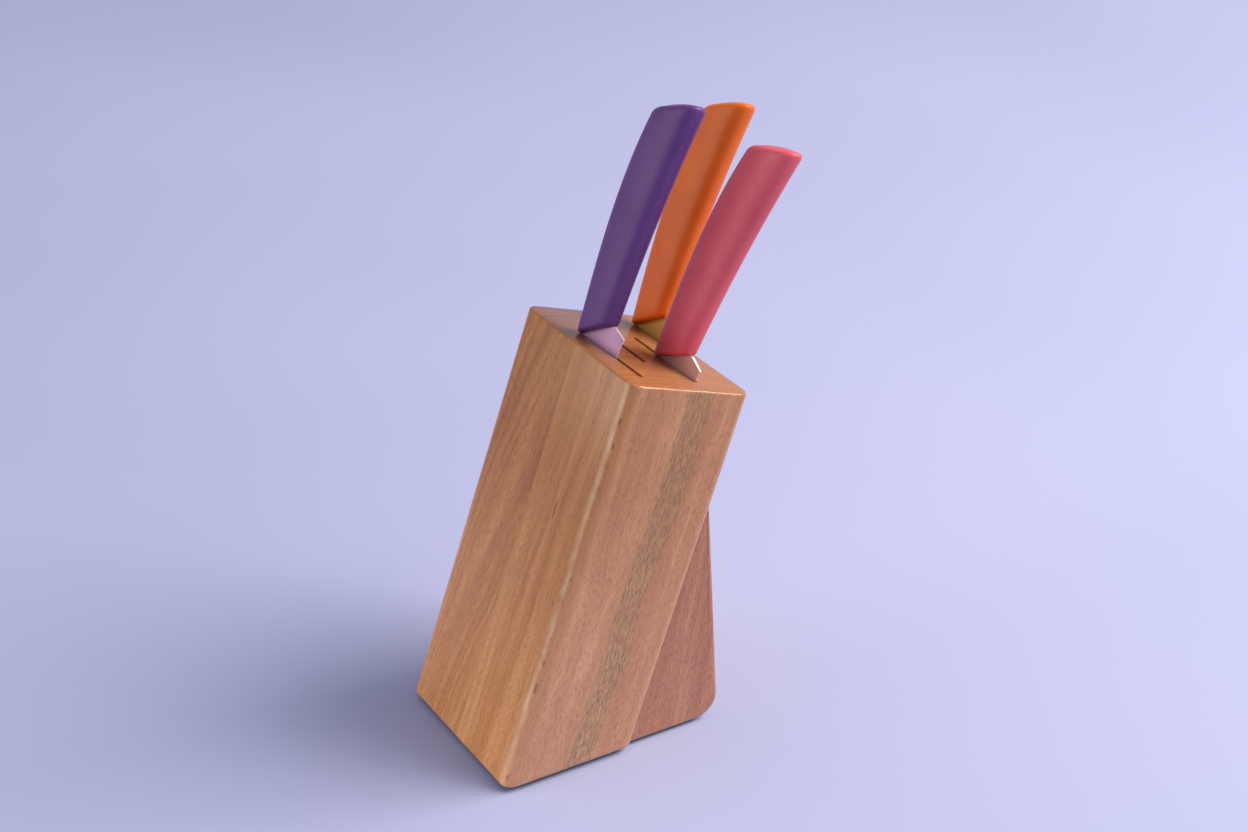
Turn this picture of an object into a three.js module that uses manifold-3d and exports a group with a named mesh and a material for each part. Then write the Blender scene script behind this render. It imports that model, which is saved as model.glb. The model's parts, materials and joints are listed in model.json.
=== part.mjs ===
// Slanted wooden knife block with three knives, in millimetres.
// +Z is up, X runs across the width, and the block leans its top towards -Y, the side the cook stands on.
import * as THREE from "three";
import { mergeVertices } from "three/addons/utils/BufferGeometryUtils.js";
import Module from "manifold-3d";

const wasm = await Module();
wasm.setup();

// The block: a square-ended bar of boards glued face to face, leaning, with its bottom cut level.
const WIDTH = 103;
const THICKNESS = 73.8;
const LENGTH = 225;
const LEAN = THREE.MathUtils.degToRad(17.8);
const LONG_EDGE_RADIUS = 7.3;
const GLUE_LINE = 0.3;
const GROUND_GAP = 2;

// The slots: each is a groove in the front face of one board. Each start and end is counted from the
// +X side, and each place from the rear face to the slot's middle.
const SLOT_WIDTH = 2.6;
const SLOTS = [
  { place: 13.4, start: 35, end: 90 },
  { place: 29.5, start: 35, end: 69.4 },
  { place: 46.0, start: 35, end: 91.4 },
  { place: 61.3, start: 12.5, end: 70 },
];
const BOARDS = ["rear_board", "second_board", "middle_board", "fourth_board", "front_board"];
const BEECH_TONES = [0xb98a62, 0xb88560, 0xbb8a66, 0xb5825f, 0xbc8a68];

// The wedge that props the leaning block up, drawn as its side outline.
const WEDGE_WIDTH = 94.4;
const WEDGE_FRONT_AT_GROUND = 133.5;
const WEDGE_FRONT_SLOPE = 0.098;
const WEDGE_TOE_RADIUS = 12.5;
const WEDGE_TOP_HEIGHT = 133;

// Dowels glued across the joint between the wedge and the front board.
const DOWEL_RADIUS = 4;
const DOWEL_CLEARANCE = 0.3;
const DOWEL_SPACING = 50;
const DOWEL_HEIGHT = 70;
const DOWEL_IN_BOARD = 8;
const DOWEL_IN_WEDGE = 20;

// Round rubber pads under the four corners.
const PAD_RADIUS = 6;
const PAD_THICKNESS = 1.8;
const PADS = {
  pad_rear_left: [-41.5, -11],
  pad_rear_right: [41.5, -11],
  pad_front_left: [-36, -110],
  pad_front_right: [36, -110],
};

// The knife handle. Heights run along the knife from the top of the block, and breadths run from the
// spine line towards the cutting edge.
const HANDLE_LENGTH = 120;
const HANDLE_NECK_BREADTH = 22.65;
const HANDLE_NECK_THICKNESS = 13;
const HANDLE_BUTT_THICKNESS = 16;
const HANDLE_SQUARENESS = 2.6;
const HANDLE_RING_POINTS = 32;
const HANDLE_RINGS = 12;
const END_STEPS = 3;
const NECK_END = { middle: 6.66, slope: 0.52, radius: 2 };
const BUTT_END = { middle: 120.15, slope: 0.29, radius: 3.5 };
const BUTT_DOME = 1.2;
const MIDDLE_BREADTH = 14;

// The blade and its hidden tang.
const BLADE_THICKNESS = 1.6;
const EDGE_THICKNESS = 0.4;
const BLADE_SPINE = 2;
const SHOULDER = [24.4, 34.4];
const HEEL_HEIGHT = 8.2;
const BLADE_TO_HANDLE = 0.35;
const TANG = { from: 7, to: 19, top: 95 };
const TANG_CLEARANCE = 0.3;
const SAME_POINT = 1e-3;

// The knives. Each offset is counted from the +X side to the spine line, and each tilt leans the
// handle towards the -X side, within the slot's plane.
const KNIVES = [
  { name: "chef", slot: 0, offset: 34.58, tilt: -2.78, blade: 185, handle: 0x5f3f76, steel: 0xae7f9f },
  { name: "carving", slot: 3, offset: 14.07, tilt: -3.92, blade: 180, handle: 0xee7a2a, steel: 0x8f6f2c },
  { name: "utility", slot: 2, offset: 57.23, tilt: 4.26, blade: 150, handle: 0xc4566a, steel: 0x8f6464 },
];

function mesh(name, geometry, colour, roughness, metalness) {
  const material = new THREE.MeshStandardMaterial({ color: colour, roughness, metalness });
  const piece = new THREE.Mesh(geometry, material);
  piece.name = name;
  return piece;
}

// Turns a three.js geometry into a solid that can be cut.
function toSolid(geometry) {
  const bare = geometry.clone();
  bare.deleteAttribute("normal");
  bare.deleteAttribute("uv");
  const merged = mergeVertices(bare, 1e-4);
  return new wasm.Manifold(new wasm.Mesh({
    numProp: 3,
    vertProperties: new Float32Array(merged.attributes.position.array),
    triVerts: new Uint32Array(merged.index.array),
  }));
}

function toGeometry(solid) {
  const cut = solid.getMesh();
  const geometry = new THREE.BufferGeometry();
  geometry.setAttribute("position", new THREE.BufferAttribute(new Float32Array(cut.vertProperties), 3));
  geometry.setIndex(new THREE.BufferAttribute(new Uint32Array(cut.triVerts), 1));
  geometry.computeVertexNormals();
  return geometry;
}

// Board sections are drawn in block space, which leans with the block: z runs along it, and y is 0 on
// its rear face and -THICKNESS on its front face.
function cornerArc(x, y, radius, fromDegrees) {
  const points = [];
  const steps = 6;
  for (let i = 0; i <= steps; i += 1) {
    const angle = THREE.MathUtils.degToRad(fromDegrees + (90 * i) / steps);
    points.push(new THREE.Vector2(x + radius * Math.cos(angle), y + radius * Math.sin(angle)));
  }
  return points;
}

// One board's section across the block, from its rear face to its front face.
function boardOutline(rear, front, slot, isRearmost, isFrontmost) {
  const half = WIDTH / 2;
  const r = LONG_EDGE_RADIUS;
  const points = [];
  if (isFrontmost) {
    points.push(...cornerArc(-half + r, front + r, r, 180));
  } else {
    points.push(new THREE.Vector2(-half, front));
  }
  if (slot) {
    const left = half - slot.end;
    const right = half - slot.start;
    points.push(new THREE.Vector2(left, front));
    points.push(new THREE.Vector2(left, front + SLOT_WIDTH));
    points.push(new THREE.Vector2(right, front + SLOT_WIDTH));
    points.push(new THREE.Vector2(right, front));
  }
  if (isFrontmost) {
    points.push(...cornerArc(half - r, front + r, r, 270));
  } else {
    points.push(new THREE.Vector2(half, front));
  }
  if (isRearmost) {
    points.push(...cornerArc(half - r, rear - r, r, 0));
    points.push(...cornerArc(-half + r, rear - r, r, 90));
  } else {
    points.push(new THREE.Vector2(half, rear));
    points.push(new THREE.Vector2(-half, rear));
  }
  return points;
}

// A board runs from the level bottom cut to the square top.
function boardGeometry(index) {
  const slot = SLOTS[index];
  const isFrontmost = index === BOARDS.length - 1;
  const rear = index === 0 ? 0 : -(SLOTS[index - 1].place + SLOT_WIDTH / 2 + GLUE_LINE);
  const front = isFrontmost ? -THICKNESS : -(slot.place + SLOT_WIDTH / 2);
  const shape = new THREE.Shape(boardOutline(rear, front, slot, index === 0, isFrontmost));
  const geometry = new THREE.ExtrudeGeometry(shape, { depth: LENGTH, bevelEnabled: false });
  const position = geometry.attributes.position;
  for (let i = 0; i < position.count; i += 1) {
    if (position.getZ(i) < LENGTH / 2) {
      position.setZ(i, -position.getY(i) * Math.tan(LEAN));
    }
  }
  return geometry;
}

// A dowel, or with some growth its hole, lies square to the block's front face, in block space.
function dowelGeometry(side, growth) {
  const radius = DOWEL_RADIUS + growth;
  const length = DOWEL_IN_BOARD + DOWEL_IN_WEDGE + 2 * growth;
  const geometry = new THREE.CylinderGeometry(radius, radius, length, 24);
  const y = -THICKNESS + (DOWEL_IN_BOARD - DOWEL_IN_WEDGE) / 2;
  return geometry.translate((side * DOWEL_SPACING) / 2, y, DOWEL_HEIGHT);
}

// Cuts both dowel holes, once they have been moved from block space into the geometry's own.
function cutDowelHoles(geometry, fromBlockSpace) {
  let solid = toSolid(geometry);
  for (const side of [-1, 1]) {
    const hole = dowelGeometry(side, DOWEL_CLEARANCE).applyMatrix4(fromBlockSpace);
    solid = solid.subtract(toSolid(hole));
  }
  return toGeometry(solid);
}

// The y of the block's front face at a height, moved out by the glue line.
function frontFaceAt(height) {
  const outer = THICKNESS + GLUE_LINE;
  const along = (height - GROUND_GAP + outer * Math.sin(LEAN)) / Math.cos(LEAN);
  return -(outer * Math.cos(LEAN) + along * Math.sin(LEAN));
}

function wedgeFrontAt(height) {
  return -(WEDGE_FRONT_AT_GROUND - WEDGE_FRONT_SLOPE * height);
}

function wedgeGeometry() {
  const r = WEDGE_TOE_RADIUS;
  const lean = Math.atan(WEDGE_FRONT_SLOPE);
  const centreZ = GROUND_GAP + r;
  const centreY = wedgeFrontAt(centreZ) + r / Math.cos(lean);
  const outline = [new THREE.Vector2(frontFaceAt(GROUND_GAP), GROUND_GAP)];
  outline.push(new THREE.Vector2(frontFaceAt(WEDGE_TOP_HEIGHT), WEDGE_TOP_HEIGHT));
  outline.push(new THREE.Vector2(wedgeFrontAt(WEDGE_TOP_HEIGHT), WEDGE_TOP_HEIGHT));
  const steps = 8;
  const sweep = Math.PI / 2 + lean;
  for (let i = 0; i <= steps; i += 1) {
    const angle = Math.PI - lean + (sweep * i) / steps;
    outline.push(new THREE.Vector2(centreY + r * Math.cos(angle), centreZ + r * Math.sin(angle)));
  }
  const shape = new THREE.Shape(outline);
  const geometry = new THREE.ExtrudeGeometry(shape, { depth: WEDGE_WIDTH, bevelEnabled: false });
  geometry.translate(0, 0, -WEDGE_WIDTH / 2);
  // The outline's first axis becomes y, its second z, and the extrusion runs along x.
  geometry.applyMatrix4(new THREE.Matrix4().makeBasis(
    new THREE.Vector3(0, 1, 0),
    new THREE.Vector3(0, 0, 1),
    new THREE.Vector3(1, 0, 0),
  ));
  return geometry;
}

// How far the spine and the belly of the handle lie from the spine line, at a height along it.
function handleSides(height) {
  const z = height / HANDLE_LENGTH;
  const spine = -2.29 * z * z + 15.53 * z * z * z;
  const belly = HANDLE_NECK_BREADTH + 11.69 * z + 8.13 * z * z;
  const thickness = HANDLE_NECK_THICKNESS + (HANDLE_BUTT_THICKNESS - HANDLE_NECK_THICKNESS) * z;
  return { spine, belly, halfThickness: thickness / 2 };
}

// One closed ring round the handle, on a plane that slopes up towards the cutting-edge side.
// In knife space x is minus the breadth, y the thickness and z the height.
function handleRing(middle, slope, inset) {
  const ring = [];
  for (let i = 0; i < HANDLE_RING_POINTS; i += 1) {
    const angle = (2 * Math.PI * i) / HANDLE_RING_POINTS;
    const c = Math.sign(Math.cos(angle)) * Math.abs(Math.cos(angle)) ** (2 / HANDLE_SQUARENESS);
    const s = Math.sign(Math.sin(angle)) * Math.abs(Math.sin(angle)) ** (2 / HANDLE_SQUARENESS);
    let height = middle;
    let breadth = 0;
    let depth = 0;
    for (let pass = 0; pass < 20; pass += 1) {
      const { spine, belly, halfThickness } = handleSides(height);
      breadth = (spine + belly) / 2 + ((belly - spine) / 2 - inset) * c;
      depth = (halfThickness - inset) * s;
      height = (height + middle + slope * (breadth - MIDDLE_BREADTH)) / 2;
    }
    ring.push(new THREE.Vector3(-breadth, depth, height));
  }
  return ring;
}

function handleRings() {
  const rings = [];
  for (let i = END_STEPS; i > 0; i -= 1) {
    const turn = ((Math.PI / 2) * i) / END_STEPS;
    const r = NECK_END.radius;
    const middle = NECK_END.middle + r * (1 - Math.sin(turn));
    rings.push(handleRing(middle, NECK_END.slope, r * (1 - Math.cos(turn))));
  }
  const first = NECK_END.middle + NECK_END.radius;
  const last = BUTT_END.middle - BUTT_END.radius;
  for (let i = 0; i <= HANDLE_RINGS; i += 1) {
    const t = i / HANDLE_RINGS;
    rings.push(handleRing(
      THREE.MathUtils.lerp(first, last, t),
      THREE.MathUtils.lerp(NECK_END.slope, BUTT_END.slope, t),
      0,
    ));
  }
  for (let i = 1; i <= END_STEPS; i += 1) {
    const turn = ((Math.PI / 2) * i) / END_STEPS;
    const r = BUTT_END.radius;
    rings.push(handleRing(last + r * Math.sin(turn), BUTT_END.slope, r * (1 - Math.cos(turn))));
  }
  return rings;
}

function ringCentre(ring) {
  const centre = new THREE.Vector3();
  for (const point of ring) {
    centre.add(point);
  }
  return centre.divideScalar(ring.length);
}

function handleGeometry() {
  const rings = handleRings();
  const positions = [];
  for (const ring of rings) {
    for (const point of ring) {
      positions.push(point.x, point.y, point.z);
    }
  }
  const neckCentre = ringCentre(rings[0]);
  const buttCentre = ringCentre(rings[rings.length - 1]);
  positions.push(neckCentre.x, neckCentre.y, neckCentre.z);
  positions.push(buttCentre.x, buttCentre.y, buttCentre.z + BUTT_DOME);
  const neckIndex = rings.length * HANDLE_RING_POINTS;
  const buttIndex = neckIndex + 1;
  const lastRing = (rings.length - 1) * HANDLE_RING_POINTS;
  const triangles = [];
  for (let i = 0; i < HANDLE_RING_POINTS; i += 1) {
    const j = (i + 1) % HANDLE_RING_POINTS;
    triangles.push(neckIndex, i, j);
    triangles.push(buttIndex, lastRing + j, lastRing + i);
    for (let k = 0; k < rings.length - 1; k += 1) {
      const low = k * HANDLE_RING_POINTS;
      const high = low + HANDLE_RING_POINTS;
      triangles.push(low + i, high + i, high + j);
      triangles.push(low + i, high + j, low + j);
    }
  }
  const geometry = new THREE.BufferGeometry();
  geometry.setAttribute("position", new THREE.Float32BufferAttribute(positions, 3));
  geometry.setIndex(triangles);
  const pocketBreadth = TANG.to - TANG.from + 2 * TANG_CLEARANCE;
  const pocketHeight = TANG.top + TANG_CLEARANCE + NECK_END.middle;
  const pocket = new THREE.BoxGeometry(pocketBreadth, BLADE_THICKNESS + 2 * TANG_CLEARANCE, pocketHeight);
  pocket.translate(-(TANG.from + TANG.to) / 2, 0, pocketHeight / 2 - NECK_END.middle);
  return toGeometry(toSolid(geometry).subtract(toSolid(pocket)));
}

// The lower end of the handle, where the blade comes out of it.
function handleEndAt(breadth) {
  return NECK_END.middle + NECK_END.slope * (breadth - MIDDLE_BREADTH);
}

// The blade's cutting edge and spine as fractions of the blade length and of the heel breadth.
const EDGE_CURVE = [
  [0.01, 0.935], [0.2, 0.92], [0.4, 0.88], [0.6, 0.79], [0.76, 0.66], [0.88, 0.5], [0.96, 0.36],
];
const SPINE_CURVE = [[0.94, 0.2], [0.8, 0.1], [0.6, 0.05]];
const TIP = [1, 0.28];

// The outline runs up the tang, over the heel, down the cutting edge and back up the spine.
function bladeOutline(length) {
  const heel = SHOULDER[1];
  const back = (breadth) => handleEndAt(breadth) - BLADE_TO_HANDLE;
  const thick = [
    [BLADE_SPINE, back(BLADE_SPINE)],
    [TANG.from, back(TANG.from)],
    [TANG.from, TANG.top],
    [TANG.to, TANG.top],
    [TANG.to, back(TANG.to)],
    [SHOULDER[0], back(SHOULDER[0])],
  ];
  const edge = [[heel, HEEL_HEIGHT]];
  for (const [along, across] of [...EDGE_CURVE, TIP]) {
    edge.push([across * heel, -along * length]);
  }
  const spine = [];
  for (const [along, across] of SPINE_CURVE) {
    spine.push([Math.max(across * heel, BLADE_SPINE), -along * length]);
  }
  const firstEdge = thick.length;
  const lastEdge = firstEdge + edge.length - 1;
  return { points: [...thick, ...edge, ...spine], firstEdge, lastEdge };
}

// The cutting edge and the tip are thinned, so that both faces taper to it. The outline lies in x and y,
// and the thickness along z.
function bladeGeometry(length) {
  const { points, firstEdge, lastEdge } = bladeOutline(length);
  const outline = points.map(([breadth, height]) => new THREE.Vector2(-breadth, height));
  const edge = outline.slice(firstEdge, lastEdge + 1);
  const shape = new THREE.Shape(outline);
  const geometry = new THREE.ExtrudeGeometry(shape, { depth: BLADE_THICKNESS, bevelEnabled: false });
  geometry.translate(0, 0, -BLADE_THICKNESS / 2);
  const position = geometry.attributes.position;
  for (let i = 0; i < position.count; i += 1) {
    const corner = new THREE.Vector2(position.getX(i), position.getY(i));
    if (edge.some((point) => point.distanceTo(corner) < SAME_POINT)) {
      position.setZ(i, (position.getZ(i) * EDGE_THICKNESS) / BLADE_THICKNESS);
    }
  }
  geometry.computeVertexNormals();
  return geometry;
}

function boardPieces(fromBlockSpace) {
  return BOARDS.map((name, index) => {
    let geometry = boardGeometry(index);
    if (index === BOARDS.length - 1) {
      geometry = cutDowelHoles(geometry, fromBlockSpace);
    }
    return mesh(name, geometry, BEECH_TONES[index], 0.45, 0);
  });
}

function padPiece(name, [x, y]) {
  const geometry = new THREE.CylinderGeometry(PAD_RADIUS, PAD_RADIUS, PAD_THICKNESS, 32);
  const pad = mesh(name, geometry, 0x3a3836, 0.8, 0);
  pad.rotation.x = Math.PI / 2;
  pad.position.set(x, y, PAD_THICKNESS / 2);
  return pad;
}

// A knife stands on the block's top face, and its own z runs up along it.
function knifeGroup(knife, sharedHandle) {
  const group = new THREE.Group();
  const blade = mesh(`${knife.name}_blade`, bladeGeometry(knife.blade), knife.steel, 0.35, 0.3);
  blade.rotation.x = Math.PI / 2;
  group.add(blade, mesh(`${knife.name}_handle`, sharedHandle, knife.handle, 0.35, 0));
  group.rotation.y = -THREE.MathUtils.degToRad(knife.tilt);
  group.position.set(WIDTH / 2 - knife.offset, -SLOTS[knife.slot].place, LENGTH);
  return group;
}

// Everything that leans with the block.
function leaningGroup() {
  const group = new THREE.Group();
  group.rotation.x = LEAN;
  group.position.z = GROUND_GAP;
  group.add(...boardPieces(new THREE.Matrix4()));
  group.add(mesh("dowel_left", dowelGeometry(-1, 0), 0xc79d72, 0.7, 0));
  group.add(mesh("dowel_right", dowelGeometry(1, 0), 0xc79d72, 0.7, 0));
  const sharedHandle = handleGeometry();
  for (const knife of KNIVES) {
    group.add(knifeGroup(knife, sharedHandle));
  }
  group.updateMatrix();
  return group;
}

// The model is moved as a whole, so that the origin is under the middle of its bounding box.
function build() {
  const model = new THREE.Group();
  const leaning = leaningGroup();
  model.add(leaning);
  model.add(mesh("wedge_foot", cutDowelHoles(wedgeGeometry(), leaning.matrix), 0xa6735a, 0.45, 0));
  for (const [name, place] of Object.entries(PADS)) {
    model.add(padPiece(name, place));
  }
  const centre = new THREE.Box3().setFromObject(model, true).getCenter(new THREE.Vector3());
  model.position.set(-centre.x, -centre.y, 0);
  const knifeBlock = new THREE.Group();
  knifeBlock.name = "knife_block";
  knifeBlock.add(model);
  return knifeBlock;
}

export default build();
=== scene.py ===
"""A slanted beech knife block with three coated knives, finished around its CAD frame. Metres, +Z up."""

import json
import math

import bmesh
import bpy
from mathutils import Matrix, Vector


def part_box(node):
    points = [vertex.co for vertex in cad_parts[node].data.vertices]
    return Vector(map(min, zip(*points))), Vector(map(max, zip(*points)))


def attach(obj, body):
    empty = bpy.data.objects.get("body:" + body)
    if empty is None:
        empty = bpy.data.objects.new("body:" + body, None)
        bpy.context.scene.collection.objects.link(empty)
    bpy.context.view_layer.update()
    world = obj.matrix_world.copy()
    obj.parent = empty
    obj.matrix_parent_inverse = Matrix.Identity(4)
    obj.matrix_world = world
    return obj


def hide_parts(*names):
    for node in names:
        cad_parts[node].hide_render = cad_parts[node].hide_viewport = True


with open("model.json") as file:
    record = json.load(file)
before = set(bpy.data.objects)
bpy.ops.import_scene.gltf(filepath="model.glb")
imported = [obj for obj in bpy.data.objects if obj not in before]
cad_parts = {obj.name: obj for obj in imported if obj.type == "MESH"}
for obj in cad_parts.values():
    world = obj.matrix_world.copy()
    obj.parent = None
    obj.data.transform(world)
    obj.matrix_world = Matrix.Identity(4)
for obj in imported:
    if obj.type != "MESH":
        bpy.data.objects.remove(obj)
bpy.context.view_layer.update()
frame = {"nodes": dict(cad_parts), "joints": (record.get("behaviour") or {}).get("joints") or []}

MM = 0.001
WELD_METRES = 1e-7
JOINTS = {joint["name"]: joint for joint in frame["joints"]}

# ---------------------------------------------------------------- sizes, in millimetres

WIDTH = 103.0
THICKNESS = 73.8
LENGTH = 225.0
LONG_EDGE_RADIUS = 7.3
SLOT_WIDTH = 2.6
# A slot's middle lies at its place from the rear face; start and end are from the +X side.
SLOTS = (
    {"place": 13.4, "start": 35.0, "end": 90.0},
    {"place": 29.5, "start": 35.0, "end": 69.4},
    {"place": 46.0, "start": 35.0, "end": 91.4},
    {"place": 61.3, "start": 12.5, "end": 70.0},
)
BOARDS = ("rear_board", "second_board", "middle_board", "fourth_board", "front_board")
# The glued joints are closed to this, so that no gap shows.
SEAM = 0.02
TOP_ROUND = 1.5
BOTTOM_ROUND = 3.6
LONG_EDGE_STEPS = 14
# Points nearer to a plane than this lie on it.
TOUCHING = 0.01

WEDGE_WIDTH = 94.4
# From the foot of the block's rear face.
WEDGE_FRONT_AT_GROUND = 133.5
WEDGE_FRONT_SLOPE = 0.098
WEDGE_TOE_RADIUS = 12.5
WEDGE_TOP_HEIGHT = 133.0
WEDGE_ROUND = 2.0
WEDGE_GRAIN_LEAN = 0.6
WEDGE_TOE_STEPS = 12

PAD_TAPER = 0.4
PAD_ROUND = 0.35

HANDLE_LENGTH = 120.0
HANDLE_NECK_BREADTH = 22.65
HANDLE_NECK_THICKNESS = 13.0
HANDLE_BUTT_THICKNESS = 16.0
HANDLE_SQUARENESS = 2.6
# The spine's rise by the height squared and cubed, and the belly's by the height and its square.
HANDLE_SPINE_RISE = (-2.29, 15.53)
HANDLE_BELLY_RISE = (11.69, 8.13)
# The moulded skin lies this far within the handle's sides.
HANDLE_SKIN = 0.08
HANDLE_RING_POINTS = 64
HANDLE_RINGS_ALONG = 26
HANDLE_END_RINGS = 6
NECK_END = {"middle": 6.66, "slope": 0.52, "radius": 2.0}
BUTT_END = {"middle": 120.15, "slope": 0.29, "radius": 3.5}
BUTT_DOME = 1.1
BUTT_DOME_RINGS = (0.8, 0.55, 0.3, 0.1)
MIDDLE_BREADTH = 14.0

BLADE_THICKNESS = 1.6
BLADE_SPINE = 2.0
SHOULDER_START = 24.4
HEEL_BREADTH = 34.4
HEEL_HEIGHT = 8.2
BLADE_TO_HANDLE = 0.35
# The edge and the spine, as (share of the blade's length, share of the heel's breadth).
EDGE_CURVE = (
    (0.01, 0.935), (0.2, 0.92), (0.4, 0.88), (0.6, 0.79),
    (0.76, 0.66), (0.88, 0.5), (0.96, 0.36), (1.0, 0.28),
)
SPINE_CURVE = ((0.0, 0.058), (0.6, 0.06), (0.8, 0.1), (0.94, 0.2), (1.0, 0.26))
# The sloping upper end evens out over this share of the blade's length.
SLOPING_SHARE = 0.12
# The share of the thickness ground off the edge: at the shoulder, more below it, and how soon.
SHOULDER_GRIND = 0.3
HEEL_GRIND = 0.5
GRIND_REACH = 0.04
# A painted highlight of whitish steel covers the upper rim from this far off the spine to this far below the
# heel.
RIM_HIGHLIGHT_FROM_SPINE = 1.0
RIM_HIGHLIGHT_BELOW_HEEL = 0.3
BLADE_STEPS_ACROSS = 16
BLADE_STEPS_ALONG = 80
TANG = {"middle": -13.0, "width": 12.0, "bottom": 4.0, "top": 95.0, "thickness": 0.98}

# Each knife's blade length, and its main and shaded colours.
KNIVES = (
    {
        "name": "chef", "length": 185.0,
        "handle_slot": "purple_plastic", "plastic": ("#6C4082", "#603776"),
        "blade_slot": "lilac_coated_steel", "coating": ("#D6A8CC", "#C898BE"),
    },
    {
        "name": "carving", "length": 180.0,
        "handle_slot": "orange_plastic", "plastic": ("#EE7214", "#E2660E"),
        "blade_slot": "olive_coated_steel", "coating": ("#CFA030", "#BE9028"),
    },
    {
        "name": "utility", "length": 150.0,
        "handle_slot": "coral_plastic", "plastic": ("#E45F6B", "#D85561"),
        "blade_slot": "rose_coated_steel", "coating": ("#F2C0AE", "#E4B0A0"),
    },
)

# ---------------------------------------------------------------- camera, lights and floor, in metres

# Angles are in degrees. The camera aims above the block's foot, and then to its own right and up.
CAMERA_AZIMUTH = 236.729
CAMERA_ELEVATION = 28.268
CAMERA_ROLL = 2.021
CAMERA_DISTANCE = 1.08148
CAMERA_LENS_MM = 62.74
CAMERA_SENSOR_MM = 36.0
CAMERA_FAR_END = 50.0
AIM_HEIGHT = 0.110
AIM_RIGHT = 0.081485
AIM_UP = 0.076855
# Each light's place is from LIT_POINT: to the camera's right, towards the camera, and up.
LIT_POINT = (0.0, -0.05, 0.12)
SOFTBOXES = {
    "key_softbox": {"place": (2.0, -0.2, 1.9), "size": (1.8, 1.8), "watts": 106.0, "colour": "#FFF6F0"},
    "low_softbox": {"place": (-5.4, 1.0, 1.3), "size": (5.4, 2.6), "watts": 112.0, "colour": "#FFF4EA"},
}
ROOM_COLOUR = "#C8CDE4"
ROOM_STRENGTH = 0.57
FLOOR_SIZE = 6.0

# ---------------------------------------------------------------- the leaning frame

lift_axis = Vector(JOINTS["chef_knife_lift"]["axis"])
LEAN = math.atan2(-lift_axis.y, lift_axis.z)
rear_low, rear_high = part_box("rear_board")
# The foot of the rear face, half way across the block.
BLOCK_FOOT = Vector(((rear_low.x + rear_high.x) / 2, rear_high.y, rear_low.z))
# Block space: z along the leaning block, y = 0 on its rear face and -THICKNESS on its front face, in mm.
BLOCK_SPACE = Matrix.Translation(BLOCK_FOOT) @ Matrix.Rotation(LEAN, 4, "X") @ Matrix.Scale(MM, 4)


def arc(centre_x, centre_y, radius, start, end, steps):
    """Points of an arc, with angles in degrees."""
    points = []
    for i in range(steps + 1):
        angle = math.radians(start + (end - start) * i / steps)
        points.append((centre_x + radius * math.cos(angle), centre_y + radius * math.sin(angle)))
    return points


def finish_piece(bm, name, body, node, materials, smooth_angle=32):
    """Turns a bmesh in metres into a finished object that stands for a CAD node and rides on its body."""
    bmesh.ops.remove_doubles(bm, verts=bm.verts, dist=WELD_METRES)
    bmesh.ops.recalc_face_normals(bm, faces=bm.faces)
    mesh = bpy.data.meshes.new(name)
    bm.to_mesh(mesh)
    bm.free()
    mesh.shade_smooth()
    mesh.set_sharp_from_angle(angle=math.radians(smooth_angle))
    for material in materials:
        mesh.materials.append(material)
    piece = bpy.data.objects.new(name, mesh)
    bpy.context.scene.collection.objects.link(piece)
    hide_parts(node)
    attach(piece, body)
    return piece


# ---------------------------------------------------------------- material helpers


def linear(code):
    """An sRGB hex code as a linear colour."""
    channels = []
    for start in (1, 3, 5):
        value = int(code[start:start + 2], 16) / 255
        channels.append(value / 12.92 if value <= 0.04045 else ((value + 0.055) / 1.055) ** 2.4)
    return (*channels, 1.0)


def add(tree, kind, *values, named=None, stops=None, **settings):
    """Adds one shader node with its settings. Values go to its sockets in turn, or by name; a node or an
    output is linked, and None leaves a socket alone. Stops are a ramp's (place, hex colour or grey)."""
    node = tree.nodes.new("ShaderNode" + kind)
    for name, setting in settings.items():
        setattr(node, name, setting)
    open_sockets = [socket for socket in node.inputs if socket.enabled]
    pairs = list(zip(open_sockets, values))
    pairs += [(node.inputs[key], value) for key, value in (named or {}).items()]
    for socket, value in pairs:
        if isinstance(value, bpy.types.Node):
            value = next(output for output in value.outputs if output.enabled)
        if isinstance(value, bpy.types.NodeSocket):
            tree.links.new(value, socket)
        elif value is not None:
            socket.default_value = value
    if stops:
        elements = node.color_ramp.elements
        while len(elements) < len(stops):
            elements.new(0.5)
        for element, (place, value) in zip(elements, stops):
            element.position = place
            element.color = linear(value) if isinstance(value, str) else (value, value, value, 1.0)
    return node


def new_material(name, surface):
    """A node material; surface(tree) returns the principled shader's inputs by name."""
    material = bpy.data.materials.new(name)
    material.use_nodes = True
    tree = material.node_tree
    tree.nodes.clear()
    shader = add(tree, "BsdfPrincipled", named=surface(tree))
    add(tree, "OutputMaterial", shader)
    return material


# ---------------------------------------------------------------- lacquered beech

# Rear face, sides and wedge: the same steamed beech in three tones.
GOLDEN = {"dark": "#CC7E32", "middle": "#DE9143", "light": "#ECA155", "ring": "#A86026", "end": "#CC864C"}
ROSY = {"dark": "#C68557", "middle": "#D29262", "light": "#DDA070", "ring": "#B4744C", "end": "#D28D5A"}
RED = {"dark": "#AC6846", "middle": "#BD7953", "light": "#C7845E", "ring": "#96543C", "end": "#A4623A"}
# Painted shade for the gap under the block and wedge, on their bottom face and lowest edge.
BOTTOM_PAINTED_SHADE = "#1E120C"
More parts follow.
